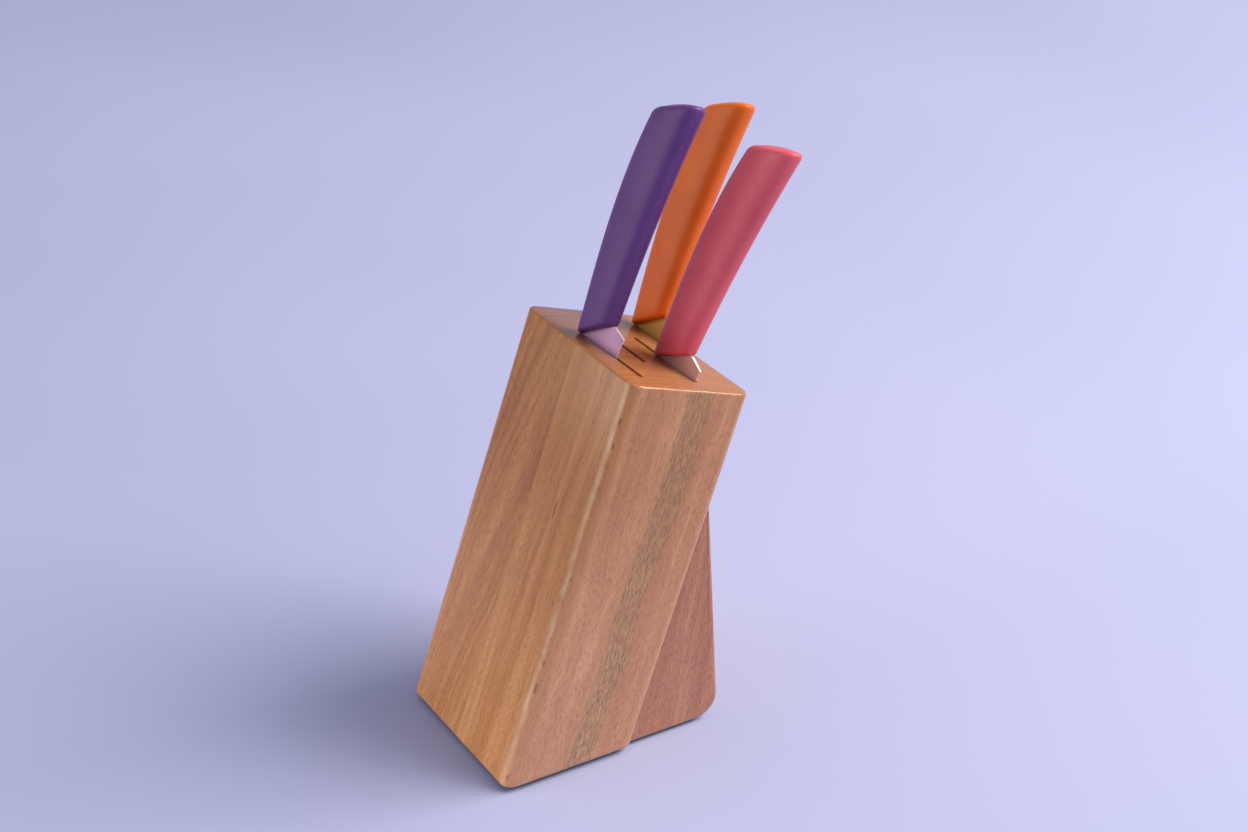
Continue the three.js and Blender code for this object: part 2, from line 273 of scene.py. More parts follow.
# Painted light and shade by height: all the wood is multiplied by the next two factors, painted light
# at its foot and painted shade from WOOD_SHADE_HEIGHT up, in metres, and the golden tone also by the two
# after WOOD_SHADE_HEIGHT, likewise painted light at its foot and painted shade from GOLDEN_SHADE_HEIGHT up,
# in mm.
FOOT_PAINTED_LIGHT = (1.3, 1.39, 1.58)
TOP_PAINTED_SHADE = (0.88, 0.86, 0.82)
WOOD_SHADE_HEIGHT = 0.16
GOLDEN_FOOT_PAINTED_LIGHT = (1.1, 1.17, 1.48)
GOLDEN_TOP_PAINTED_SHADE = (0.98, 0.97, 0.94)
GOLDEN_SHADE_HEIGHT = 170.0
FLECK = "#7A4A2C"
BARK = "#5A3018"
BARK_LINE = {"x": -21.5, "z": 145.0, "half_width": 0.9, "half_length": 7.0}
# The heartwood streak's colours, its two borders in block space, how far they wave, and how deep under the
# side it fades.
HEARTWOOD = ((0.3, "#765334"), (0.48, "#A0744A"), (0.66, "#C49463"))
HEARTWOOD_REAR = (-33.6, -35.4)
HEARTWOOD_FRONT = (-50.8, -49.6)
HEARTWOOD_WAVE = 2.2
HEARTWOOD_DEPTH = (9.0, 18.0)
PALE_STRIP = "#FCCF98"
# Painted light for the rounded rear edge of the -X side, which the lamps leave in shade.
EDGE_PAINTED_LIGHT = "#EAA064"
# The pale strip's middle, from the corner across the rear face, and how far it wavers.
STRIP_MIDDLE = 4.6
STRIP_WAVER = 5.0
STRIP_HALF_WIDTH = 3.4
# The rear board's two strips meet here, 50 mm from the +X side.
GLUED_STRIPS_MEET = 1.5
# The second strip's grain is taken from this far away in the same wood.
GRAIN_SKIP = (170.0, 60.0, 90.0)


def grain_space(tree, angle):
    """Object coordinates in millimetres from the block's foot, with Z along the leaning grain."""
    place = add(tree, "TexCoord").outputs["Object"]
    foot = Matrix.Rotation(-angle, 3, "X") @ BLOCK_FOOT / MM
    return add(tree, "Mapping", place, -foot, (-angle, 0.0, 0.0), (1 / MM, 1 / MM, 1 / MM))


def grain_layers(tree, space, pith, turn):
    """The grey patterns of beech, all in the solid: a flat-sawn face gets flames from the growth rings, a
    quarter-sawn one straight lines, and an end shows arcs and pores. pith is the tree's centre in mm."""
    centred = add(tree, "Mapping", space, (-pith[0], -pith[1], 0.0), turn)
    # The grain wanders about 4 mm over a hand's breadth.
    slow = add(tree, "Mapping", centred, None, None, (0.016, 0.016, 0.006))
    wander = add(tree, "TexNoise", slow, 1.0, 2.0).outputs["Color"]
    push = add(tree, "VectorMath", wander, (14.0, 14.0, 0.0), (-7.0, -7.0, 0.0), operation="MULTIPLY_ADD")
    grain = add(tree, "VectorMath", centred, push, operation="ADD")
    flat = add(tree, "VectorMath", grain, (1.0, 1.0, 0.0), operation="MULTIPLY")
    radius = add(tree, "VectorMath", flat, operation="LENGTH").outputs["Value"]
    parts = add(tree, "SeparateXYZ", grain)
    turned = add(tree, "Math", parts.outputs["Y"], parts.outputs["X"], operation="ARCTAN2")
    arc_length = add(tree, "Math", turned, math.hypot(*pith), operation="MULTIPLY")
    around = add(tree, "CombineXYZ", arc_length, radius, parts.outputs["Z"])

    # Growth rings 1.5 to 4 mm wide, each ending in a thin darker line.
    uneven = add(tree, "TexNoise", radius, 0.09, 1.0, noise_dimensions="1D")
    count = add(tree, "Math", radius, 0.27, add(tree, "Math", uneven, 5.0, operation="MULTIPLY"),
                operation="MULTIPLY_ADD")
    rings = add(tree, "ValToRGB", add(tree, "Math", count, operation="FRACT"),
                stops=((0.0, 0.1), (0.12, 0.0), (0.55, 0.35), (0.88, 1.0), (1.0, 0.1)))

    broad = add(tree, "Mapping", around, None, None, (0.075, 0.16, 0.004))
    fine = add(tree, "Mapping", around, None, None, (1.5, 1.5, 0.05))
    # Pores are 0.1 mm wide and a few mm long; drawn 0.5 mm wide so that they show.
    short = add(tree, "Mapping", around, None, None, (2.1, 2.1, 0.3))
    # Ray flecks on the flat-sawn face are spindles 2 to 3 mm tall, deep along the radius.
    spindle = add(tree, "Mapping", around, None, None, (0.85, 0.07, 0.2))
    near = add(tree, "TexVoronoi", spindle, 1.0)
    chosen = add(tree, "SeparateColor", near.outputs["Color"])
    reach = add(tree, "MapRange", chosen, 0.0, 1.0, 0.08, 0.34)
    inside = add(tree, "Math", near, reach, operation="SUBTRACT")
    flecks = add(tree, "MapRange", inside, -0.08, 0.0, 1.0, 0.0)
    fibres = add(tree, "TexNoise", fine, 1.0, 3.0, 0.65)
    return {
        "rings": rings,
        "bands": add(tree, "TexNoise", broad, 1.0, 3.0, 0.6),
        "fibres": fibres,
        "shade": add(tree, "ValToRGB", fibres, stops=((0.3, 0.72), (0.68, 1.0))),
        "pores": add(tree, "TexNoise", short, 1.0, 1.0, 0.4),
        "flecks": flecks,
    }


def wood_tone(tree, layers, tones, ring_depth, fleck_depth):
    """Colours the layers: broad bands, ring lines, fibres and pores that darken it, then ray flecks."""
    bands = add(tree, "ValToRGB", layers["bands"], stops=(
        (0.33, tones["dark"]), (0.5, tones["middle"]), (0.67, tones["light"]),
    ))
    depth = add(tree, "Math", layers["rings"], ring_depth, operation="MULTIPLY")
    colour = add(tree, "Mix", depth, bands, linear(tones["ring"]), data_type="RGBA")
    colour = add(tree, "Mix", 0.85, colour, layers["shade"], data_type="RGBA", blend_type="MULTIPLY")
    pore_shade = add(tree, "ValToRGB", layers["pores"], stops=((0.3, 0.62), (0.5, 1.0)))
    colour = add(tree, "Mix", 0.8, colour, pore_shade, data_type="RGBA", blend_type="MULTIPLY")
    depth = add(tree, "Math", layers["flecks"], fleck_depth, operation="MULTIPLY")
    return add(tree, "Mix", depth, colour, linear(FLECK), data_type="RGBA")


def shaded(tree, colour, height, shade_height, foot, top):
    """Multiplies a colour by factors that run evenly from foot to top: painted light and shade by height."""
    rise = add(tree, "MapRange", height, 0.0, shade_height, 0.0, 1.0)
    factors = add(tree, "Mix", rise, foot, top, data_type="VECTOR")
    return add(tree, "VectorMath", colour, factors, operation="MULTIPLY")


def lacquered(tree, colour, layers, end_mask, end_colour):
    """Adds the end grain, painted shade for the gap underneath (a near-black, unlacquered bottom face and
    lowest
    0.9 mm), and a hard satin lacquer that fills all but the deepest pores."""
    rings = add(tree, "Math", layers["rings"], 0.4, operation="MULTIPLY")
    end = add(tree, "Mix", rings, end_colour, linear(FLECK), data_type="RGBA")
    end = add(tree, "Mix", 1.0, end, layers["shade"], data_type="RGBA", blend_type="MULTIPLY")
    height = add(tree, "Math", layers["fibres"], layers["pores"], operation="ADD")
    colour = add(tree, "Mix", end_mask, colour, end, data_type="RGBA")
    upright = add(tree, "SeparateXYZ", add(tree, "TexCoord").outputs["Object"])
    # Painted light and shade: the wood is paler towards the foot and a shade deeper above.
    colour = shaded(tree, colour, upright.outputs["Z"], WOOD_SHADE_HEIGHT, FOOT_PAINTED_LIGHT, TOP_PAINTED_SHADE)
    # Painted shade for the gap underneath: the bottom face and its lowest 0.9 mm go near-black and lose the
    # lacquer.
    foot = BLOCK_FOOT.z
    bottom = add(tree, "MapRange", upright.outputs["Z"], foot + 0.2 * MM, foot + 0.9 * MM, 1.0, 0.0)
    return {
        "Base Color": add(tree, "Mix", bottom, colour, linear(BOTTOM_PAINTED_SHADE), data_type="RGBA"),
        "Roughness": add(tree, "MapRange", layers["fibres"], 0.2, 0.8, 0.42, 0.54),
        "Normal": add(tree, "Bump", named={"Height": height, "Strength": 0.12, "Distance": 0.0002}),
        "IOR": 1.5,
        "Specular IOR Level": 0.1,
        "Coat Weight": add(tree, "Math", 1.0, bottom, operation="SUBTRACT"),
        "Coat Roughness": 0.2,
        "Coat IOR": 1.5,
    }


def end_of_board(tree, parts):
    """1 on the sawn top of the block, 0 on its faces."""
    return add(tree, "MapRange", parts.outputs["Z"], LENGTH - 0.9, LENGTH - 0.2, 0.0, 1.0)


def heartwood_mask(tree, parts):
    """Where a streak of old grey-brown heartwood runs down the -X side, with a straight rear border and a
    wavy front one."""
    wave = add(tree, "TexNoise", parts.outputs["Z"], 0.014, 1.0, noise_dimensions="1D")
    bend = add(tree, "MapRange", wave, 0.25, 0.75, HEARTWOOD_WAVE, -HEARTWOOD_WAVE, clamp=False)
    rear = add(tree, "Math", parts.outputs["Y"], bend, operation="ADD")
    rear_side = add(tree, "MapRange", rear, *HEARTWOOD_REAR, 0.0, 1.0)
    front = add(tree, "Math", rear, bend, operation="ADD")
    front_side = add(tree, "MapRange", front, *HEARTWOOD_FRONT, 0.0, 1.0)
    both = add(tree, "Math", rear_side, front_side, operation="MULTIPLY")
    shallow, deep = (-WIDTH / 2 + depth for depth in HEARTWOOD_DEPTH)
    near_side = add(tree, "MapRange", parts.outputs["X"], shallow, deep, 1.0, 0.0)
    return add(tree, "Math", both, near_side, operation="MULTIPLY")


def rear_wood(tree, space, parts):
    """The rear board's layers and golden colour. The board is edge-glued of two strips, and the one nearer
    the -X side is cut where the rings are tight and pale."""
    strip = add(tree, "Math", parts.outputs["X"], GLUED_STRIPS_MEET, operation="LESS_THAN")
    skip = add(tree, "VectorMath", GRAIN_SKIP, operation="SCALE", named={"Scale": strip})
    strip_space = add(tree, "VectorMath", space, skip, operation="ADD")
    layers = grain_layers(tree, strip_space, pith=(-10.0, 75.0), turn=(0.045, 0.03, 0.0))
    ring_depth = add(tree, "MapRange", strip, 0.0, 1.0, 0.45, 0.18)
    golden = wood_tone(tree, layers, GOLDEN, ring_depth, fleck_depth=0.12)
    # Painted light at the rear face's foot and painted shade higher up, laid over the wood's own tone.
    golden = shaded(tree, golden, parts.outputs["Z"], GOLDEN_SHADE_HEIGHT, GOLDEN_FOOT_PAINTED_LIGHT, GOLDEN_TOP_PAINTED_SHADE)
    return layers, golden


def side_wood(tree, space, parts):
    """The sides' layers and rosy colour, with the curly streak of heartwood."""
    layers = grain_layers(tree, space, pith=(-190.0, -15.0), turn=(0.0, 0.012, 0.0))
    rosy = wood_tone(tree, layers, ROSY, ring_depth=0.16, fleck_depth=0.5)
    curly = add(tree, "Mapping", space, None, None, (1.5, 1.5, 0.2))
    curl = add(tree, "TexNoise", curly, 1.0, 2.0, 0.6, named={"Distortion": 0.8})
    streaky = add(tree, "ValToRGB", curl, stops=HEARTWOOD)
    streak = add(tree, "Math", heartwood_mask(tree, parts), 0.85, operation="MULTIPLY")
    return layers, add(tree, "Mix", streak, rosy, streaky, data_type="RGBA")


def band(tree, distance, middle, inner, outer, strength, gate):
    """A band at strength within inner mm of its middle, fading to 0 at outer mm, times a gate."""
    past = add(tree, "Math", distance, middle, operation="SUBTRACT")
    past = add(tree, "Math", past, operation="ABSOLUTE")
    fade = add(tree, "MapRange", past, inner, outer, strength, 0.0)
    return add(tree, "Math", fade, gate, operation="MULTIPLY")


def plain_wood(tree, tone, layers):
    """One tone of wood, darkened by its fibres."""
    return add(tree, "Mix", 0.8, linear(tone), layers["shade"], data_type="RGBA", blend_type="MULTIPLY")


def strip_distance(tree, parts):
    """How far a point lies past the pale strip's middle, onto the rear face, in mm. The strip wavers down
    the rounded edge between the rear face and the -X side, which meet where turn is 0."""
    across = add(tree, "Math", parts.outputs["X"], WIDTH / 2, operation="ADD")
    turn = add(tree, "Math", across, parts.outputs["Y"], operation="ADD")
    wobble = add(tree, "TexNoise", parts.outputs["Z"], 0.03, 2.0, noise_dimensions="1D")
    centred = add(tree, "Math", turn, -STRIP_MIDDLE + STRIP_WAVER / 2, operation="ADD")
    return add(tree, "Math", wobble, -STRIP_WAVER, centred, operation="MULTIPLY_ADD")


def bark_mask(tree, space):
    """Where the short line of bark is, as deep as the wood goes."""
    half_width, half_length = BARK_LINE["half_width"], BARK_LINE["half_length"]
    move = (-BARK_LINE["x"] / half_width, 0.0, -BARK_LINE["z"] / half_length)
    apart = add(tree, "Mapping", space, move, None, (1 / half_width, 0.0, 1 / half_length))
    apart = add(tree, "VectorMath", apart, operation="LENGTH").outputs["Value"]
    return add(tree, "MapRange", apart, 0.3, 1.0, 0.85, 0.0)


def block_beech():
    """Steamed beech, planed, under a hard satin lacquer: golden and flat-sawn on the rear face, rosy and
    plain on the sides. The lacquer gives the wood depth and mirrors the handles in the top."""
    def surface(tree):
        space = grain_space(tree, LEAN)
        parts = add(tree, "SeparateXYZ", space)
        rear_layers, golden = rear_wood(tree, space, parts)
        side_layers, rosy = side_wood(tree, space, parts)
        from_strip = strip_distance(tree, parts)
        near_rear = add(tree, "MapRange", parts.outputs["Y"], -13.0, -9.0, 0.0, 1.0)
        at_rear = add(tree, "MapRange", parts.outputs["Y"], -7.5, -4.0, 0.0, 1.0)
        past_strip = add(tree, "MapRange", from_strip, -3.0, -1.0, 0.0, 1.0)
        rear_zone = add(tree, "Math", at_rear, past_strip, operation="MULTIPLY")
        colour = add(tree, "Mix", rear_zone, rosy, golden, data_type="RGBA")

        # A brighter orange on the rounded edge next to the strip is painted light, where that edge falls into
        # shade between the two lamps; the strip of sapwood on it is pale in places.
        edge_light_share = band(tree, from_strip, -5.0, 2.0, 7.0, 0.6, near_rear)
        edge = plain_wood(tree, EDGE_PAINTED_LIGHT, side_layers)
        colour = add(tree, "Mix", edge_light_share, colour, edge, data_type="RGBA")
        patches = add(tree, "TexNoise", space, 0.09, 2.0)
        strength = add(tree, "MapRange", patches, 0.35, 0.65, 0.25, 0.8)
        pale = band(tree, from_strip, 0.0, 0.0, STRIP_HALF_WIDTH, 1.0, near_rear)
        pale = add(tree, "Math", pale, strength, operation="MULTIPLY")
        sapwood = plain_wood(tree, PALE_STRIP, rear_layers)
        colour = add(tree, "Mix", pale, colour, sapwood, data_type="RGBA")

        # A faint brown line and dark mineral specks, about 1 mm, lie along the strip's border.
        border = band(tree, from_strip, -2.6, 0.4, 1.6, 1.0, near_rear)
        brown = add(tree, "Math", border, 0.08, operation="MULTIPLY")
        colour = add(tree, "Mix", brown, colour, linear(GOLDEN["ring"]), data_type="RGBA")
        speck_space = add(tree, "Mapping", space, None, None, (0.42, 0.42, 0.2))
        specks = add(tree, "TexVoronoi", speck_space, 1.0)
        chance = add(tree, "SeparateColor", specks.outputs["Color"])
        size = add(tree, "MapRange", chance, 0.35, 1.0, 0.0, 0.58)
        inside = add(tree, "Math", specks, size, operation="SUBTRACT")
        speck = add(tree, "MapRange", inside, -0.14, 0.0, 0.6, 0.0)
        speck = add(tree, "Math", speck, border, operation="MULTIPLY")
        colour = add(tree, "Mix", speck, colour, linear(FLECK), data_type="RGBA")

        # One short dark line of bark is left in the rear face.
        bark = add(tree, "Math", bark_mask(tree, space), rear_zone, operation="MULTIPLY")
        colour = add(tree, "Mix", bark, colour, linear(BARK), data_type="RGBA")
        rosy_end, golden_end = linear(ROSY["end"]), linear(GOLDEN["end"])
        end_colour = add(tree, "Mix", rear_zone, rosy_end, golden_end, data_type="RGBA")
        return lacquered(tree, colour, side_layers, end_of_board(tree, parts), end_colour)
    return new_material("steamed beech, lacquered", surface)


def wedge_beech():
    """A redder, darker piece of the same beech, with plain dark ray flecks, under the same lacquer. Its grain
    leans less than the block."""
    def surface(tree):
        space = grain_space(tree, LEAN * WEDGE_GRAIN_LEAN)
        layers = grain_layers(tree, space, pith=(-180.0, -60.0), turn=(0.0, 0.015, 0.0))
        colour = wood_tone(tree, layers, RED, ring_depth=0.22, fleck_depth=0.75)
        upright = add(tree, "SeparateXYZ", add(tree, "TexCoord").outputs["Object"])
        top = (WEDGE_TOP_HEIGHT - 1.0) * MM
        end = add(tree, "MapRange", upright.outputs["Z"], top, top + 0.0008, 0.0, 1.0)
        return lacquered(tree, colour, layers, end, linear(RED["end"]))
    return new_material("steamed beech, red heart", surface)


def dowel_beech():
    """Bare turned beech, dry and pale, with its grain along the dowel."""
    def surface(tree):
        space = add(tree, "Mapping", grain_space(tree, LEAN), None, (math.pi / 2, 0.0, 0.0))
        layers = grain_layers(tree, space, pith=(-40.0, -10.0), turn=(0.0, 0.0, 0.0))
        return {
            "Base Color": wood_tone(tree, layers, ROSY, ring_depth=0.3, fleck_depth=0.5),
            "Roughness": add(tree, "MapRange", layers["fibres"], 0.2, 0.8, 0.6, 0.75),
        }
    return new_material("turned beech, bare", surface)


# ---------------------------------------------------------------- the block's boards


def board_outline(index):
    """One board's section in block space, from its rear face to its front face."""
    half = WIDTH / 2
    r = LONG_EDGE_RADIUS
    rearmost = index == 0
    frontmost = index == len(BOARDS) - 1
    rear = 0.0 if rearmost else -(SLOTS[index - 1]["place"] + SLOT_WIDTH / 2 + SEAM)
    front = -THICKNESS if frontmost else -(SLOTS[index]["place"] + SLOT_WIDTH / 2)
    points = []
    if frontmost:
        points += arc(-half + r, front + r, r, 180, 270, LONG_EDGE_STEPS)
        points += arc(half - r, front + r, r, 270, 360, LONG_EDGE_STEPS)
    else:
        left = half - SLOTS[index]["end"]
        right = half - SLOTS[index]["start"]
        points += [(-half, front), (left, front), (left, front + SLOT_WIDTH)]
        points += [(right, front + SLOT_WIDTH), (right, front), (half, front)]
    if rearmost:
        points += arc(half - r, rear - r, r, 0, 90, LONG_EDGE_STEPS)
        points += arc(-half + r, rear - r, r, 90, 180, LONG_EDGE_STEPS)
    else:
        points += [(half, rear), (-half, rear)]
    return points, rear, front


def on_block_skin(vert, rear):
    """Whether a point lies on the block's outer skin, rather than on a glued face or in a slot."""
    x, y = abs(vert.co.x), vert.co.y
    at_side = x > WIDTH / 2 - TOUCHING
    at_rear = y > -LONG_EDGE_RADIUS + TOUCHING and rear == 0.0
    at_front = y < -THICKNESS + LONG_EDGE_RADIUS - TOUCHING
    return at_side or at_rear or at_front


def on_glued_face(edge, rear, front):
    """Whether an edge lies on a face that is glued to the next board."""
    at_rear = all(abs(vert.co.y - rear) < TOUCHING for vert in edge.verts)
    at_front = all(abs(vert.co.y - front) < TOUCHING for vert in edge.verts)
    return (at_rear and rear < 0.0) or (at_front and front > -THICKNESS)


def build_board(index, material):
    """A board with its groove, its top and bottom edges rounded only where they show."""
    name = BOARDS[index]
    outline, rear, front = board_outline(index)
    bm = bmesh.new()
    face = bm.faces.new([bm.verts.new((x, y, 0.0)) for x, y in outline])
    raised = bmesh.ops.extrude_face_region(bm, geom=[face])
    for vert in (item for item in raised["geom"] if isinstance(item, bmesh.types.BMVert)):
        vert.co.z = LENGTH
    for vert in bm.verts:
        if vert.co.z < LENGTH / 2:
            vert.co.z = -vert.co.y * math.tan(LEAN)
    for is_top, size in ((True, TOP_ROUND), (False, BOTTOM_ROUND)):
        rim = []
        for edge in bm.edges:
            ends_on_skin = all(on_block_skin(vert, rear) for vert in edge.verts)
            heights = [vert.co.z for vert in edge.verts]
            level = min(heights) > LENGTH - TOUCHING if is_top else max(heights) < LENGTH / 2
            along = abs(edge.verts[0].co.z - edge.verts[1].co.z) > LENGTH / 2
            if ends_on_skin and level and not along and not on_glued_face(edge, rear, front):
                rim.append(edge)
        bmesh.ops.bevel(bm, geom=rim, offset=size, segments=4, profile=0.5, affect="EDGES", material=-1)
    bmesh.ops.transform(bm, matrix=BLOCK_SPACE, verts=bm.verts)
    finish_piece(bm, name + "_planed", "block", name, [material])


# ---------------------------------------------------------------- the wedge, dowels and pads


def front_face_at(height):
    """The y, from the block's foot, of its front face at a height above the worktop."""
    outer = THICKNESS + SEAM
    along = (height - BLOCK_FOOT.z / MM + outer * math.sin(LEAN)) / math.cos(LEAN)
    return -(outer * math.cos(LEAN) + along * math.sin(LEAN))


def wedge_front_at(height):
    """The y, from the block's foot, of the wedge's front face at a height above the worktop."""
    return -(WEDGE_FRONT_AT_GROUND - WEDGE_FRONT_SLOPE * height)


def build_wedge(material):
    """The wedge's side outline pushed across the block, with its edges rounded."""
    ground = BLOCK_FOOT.z / MM
    r = WEDGE_TOE_RADIUS
    lean = math.atan(WEDGE_FRONT_SLOPE)
    centre_z = ground + r
    centre_y = wedge_front_at(centre_z) + r / math.cos(lean)
    outline = [(front_face_at(ground), ground), (front_face_at(WEDGE_TOP_HEIGHT), WEDGE_TOP_HEIGHT)]
    outline.append((wedge_front_at(WEDGE_TOP_HEIGHT), WEDGE_TOP_HEIGHT))
    outline += arc(centre_y, centre_z, r, 180 - math.degrees(lean), 270, WEDGE_TOE_STEPS)
    bm = bmesh.new()
    face = bm.faces.new([bm.verts.new((-WEDGE_WIDTH / 2, y, z)) for y, z in outline])
    raised = bmesh.ops.extrude_face_region(bm, geom=[face])
    moved = [item for item in raised["geom"] if isinstance(item, bmesh.types.BMVert)]
    bmesh.ops.translate(bm, verts=moved, vec=(WEDGE_WIDTH, 0.0, 0.0))
    rim = []
    for edge in bm.edges:
        a, b = (vert.co for vert in edge.verts)
        against_block = all(abs(co.y - front_face_at(co.z)) < TOUCHING for co in (a, b))
        if abs(a.x - b.x) < TOUCHING and not against_block:
            rim.append(edge)
    bmesh.ops.bevel(bm, geom=rim, offset=WEDGE_ROUND, segments=5, profile=0.5, affect="EDGES", material=-1)
    place = Matrix.Translation((BLOCK_FOOT.x, BLOCK_FOOT.y, 0.0)) @ Matrix.Scale(MM, 4)
    bmesh.ops.transform(bm, matrix=place, verts=bm.verts)
    finish_piece(bm, "wedge_foot_planed", "block", "wedge_foot", [material])


def build_pad(node, material):
    """A moulded rubber pad with a soft rim."""
    low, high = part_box(node)
    radius = (high.x - low.x) / 2 / MM
    height = (high.z - low.z) / MM
    bm = bmesh.new()
    bmesh.ops.create_cone(
        bm, cap_ends=True, segments=64, radius1=radius, radius2=radius - PAD_TAPER, depth=height,
    )
    rim = [edge for edge in bm.edges if abs(edge.verts[0].co.z - edge.verts[1].co.z) < TOUCHING]
    bmesh.ops.bevel(bm, geom=rim, offset=PAD_ROUND, segments=3, profile=0.5, affect="EDGES", material=-1)
    place = Matrix.Translation((low + high) / 2) @ Matrix.Scale(MM, 4)
    bmesh.ops.transform(bm, matrix=place, verts=bm.verts)
    finish_piece(bm, node + "_moulded", "block", node, [material])


# ---------------------------------------------------------------- the knives


def handle_sides(height):
    """The spine, belly and half thickness of the handle at a height along it."""
    z = height / HANDLE_LENGTH
    spine = HANDLE_SPINE_RISE[0] * z * z + HANDLE_SPINE_RISE[1] * z ** 3
    belly = HANDLE_NECK_BREADTH + HANDLE_BELLY_RISE[0] * z + HANDLE_BELLY_RISE[1] * z * z
    thickness = HANDLE_NECK_THICKNESS + (HANDLE_BUTT_THICKNESS - HANDLE_NECK_THICKNESS) * z
    return spine, belly, thickness / 2


def power(value, exponent):
    """A signed power."""
    return math.copysign(abs(value) ** exponent, value)


def handle_ring(middle, slope, inset):
    """One ring round the handle, on a plane that slopes up towards the cutting-edge side."""
    ring = []
    for i in range(HANDLE_RING_POINTS):
        angle = 2 * math.pi * i / HANDLE_RING_POINTS
        c = power(math.cos(angle), 2 / HANDLE_SQUARENESS)
        s = power(math.sin(angle), 2 / HANDLE_SQUARENESS)
        # The height and the breadth depend on each other, and twenty rounds settle both.
        height = middle
        for _ in range(20):
            spine, belly, half = handle_sides(height)
            breadth = (spine + belly) / 2 + ((belly - spine) / 2 - HANDLE_SKIN - inset) * c
            height = (height + middle + slope * (breadth - MIDDLE_BREADTH)) / 2
        ring.append(Vector((-breadth, (half - HANDLE_SKIN - inset) * s, height)))
    return ring


def handle_rings():
    """All rings of the handle, from the middle of its neck end to the middle of its domed butt."""
    rings = []
    steps = HANDLE_END_RINGS
    for i in range(steps, 0, -1):
        turn = math.pi / 2 * i / steps
        r = NECK_END["radius"]
        middle = NECK_END["middle"] + r * (1 - math.sin(turn))
        rings.append(handle_ring(middle, NECK_END["slope"], r * (1 - math.cos(turn))))
    first = NECK_END["middle"] + NECK_END["radius"]
    last = BUTT_END["middle"] - BUTT_END["radius"]
    for i in range(HANDLE_RINGS_ALONG + 1):
        t = i / HANDLE_RINGS_ALONG
        slope = NECK_END["slope"] + (BUTT_END["slope"] - NECK_END["slope"]) * t
        rings.append(handle_ring(first + (last - first) * t, slope, 0.0))
    for i in range(1, steps + 1):
        turn = math.pi / 2 * i / steps
        r = BUTT_END["radius"]
        rings.append(handle_ring(last + r * math.sin(turn), BUTT_END["slope"], r * (1 - math.cos(turn))))
    rim = rings[-1]
    centre = sum(rim, Vector()) / len(rim)
    for share in BUTT_DOME_RINGS:
        lift = Vector((0.0, 0.0, BUTT_DOME * (1 - share * share)))
        rings.append([centre + (point - centre) * share + lift for point in rim])
    return rings


def knife_matrix(joint_name):
    """Knife space stands up the knife, x pointing away from the cutting edge, y through the thickness."""
    axis = Vector(JOINTS[joint_name]["axis"])
    tilt = math.asin(-axis.x)
    return Matrix.Rotation(LEAN, 4, "X") @ Matrix.Rotation(-tilt, 4, "Y") @ Matrix.Scale(MM, 4)


def place_on_node(bm, matrix, node):
    """Moves a turned shape so that its box shares its centre with the CAD node's box."""
    bmesh.ops.transform(bm, matrix=matrix, verts=bm.verts)
    low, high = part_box(node)
    wanted = (low + high) / 2
    lows = Vector([min(vert.co[i] for vert in bm.verts) for i in range(3)])
    highs = Vector([max(vert.co[i] for vert in bm.verts) for i in range(3)])
    bmesh.ops.translate(bm, verts=bm.verts, vec=wanted - (lows + highs) / 2)


def build_handle(knife, material):
    """Rings bridged into a curved handle, closed flat at the neck and domed at the butt."""
    bm = bmesh.new()
    loops = []
    for ring in handle_rings():
        verts = [bm.verts.new(point) for point in ring]
        loops.append([bm.edges.new((verts[i - 1], verts[i])) for i in range(len(verts))])
    for low, high in zip(loops, loops[1:]):
        bmesh.ops.bridge_loops(bm, edges=low + high)
    bmesh.ops.contextual_create(bm, geom=loops[0])
    bmesh.ops.contextual_create(bm, geom=loops[-1])
    node = knife + "_handle"
    place_on_node(bm, knife_matrix(knife + "_knife_lift"), node)
    finish_piece(bm, node + "_moulded", knife + "_knife", node, [material], 50)


def moulded_plastic(name, base, shade):
    """Satin moulded polypropylene: slightly cloudy in colour, with the fine skin that a spark-eroded mould
    leaves, so its highlights are broad and soft."""
    def surface(tree):
        place = add(tree, "TexCoord").outputs["Object"]
        # Clouds about 25 mm across; the mould's skin is 0.1 mm fine and drawn at 0.7 mm.
        cloud = add(tree, "TexNoise", place, 40.0, 3.0)
        skin = add(tree, "TexNoise", place, 1400.0, 2.0)
        bump = add(tree, "Bump", named={"Height": skin, "Strength": 0.1, "Distance": 0.00005})
        return {
            "Base Color": add(tree, "ValToRGB", cloud, stops=((0.3, shade), (0.7, base))),
            "Roughness": add(tree, "MapRange", skin, 0.3, 0.7, 0.36, 0.46),
            "Normal": bump,
            "IOR": 1.49,
            "Specular IOR Level": 0.35,
        }
    return new_material(name, surface)


def coated_steel(name, base, shade):
    """Steel sprayed with a coloured non-stick coating: an even satin film with a faint fleck."""
    def surface(tree):
        place = add(tree, "TexCoord").outputs["Object"]
        cloud = add(tree, "TexNoise", place, 60.0, 2.0)
        # The coating's fleck is 0.1 mm fine and drawn at 0.5 mm.
        fleck = add(tree, "TexNoise", place, 2000.0, 1.0)
        both = add(tree, "Mix", 0.4, cloud, fleck)
        return {
            "Base Color": add(tree, "ValToRGB", both, stops=((0.35, shade), (0.65, base))),
            "Roughness": add(tree, "MapRange", fleck, 0.3, 0.7, 0.32, 0.4),
            "Metallic": 0.15,
            "Coat Weight": 0.4,
            "Coat Roughness": 0.2,
        }
    return new_material(name, surface)


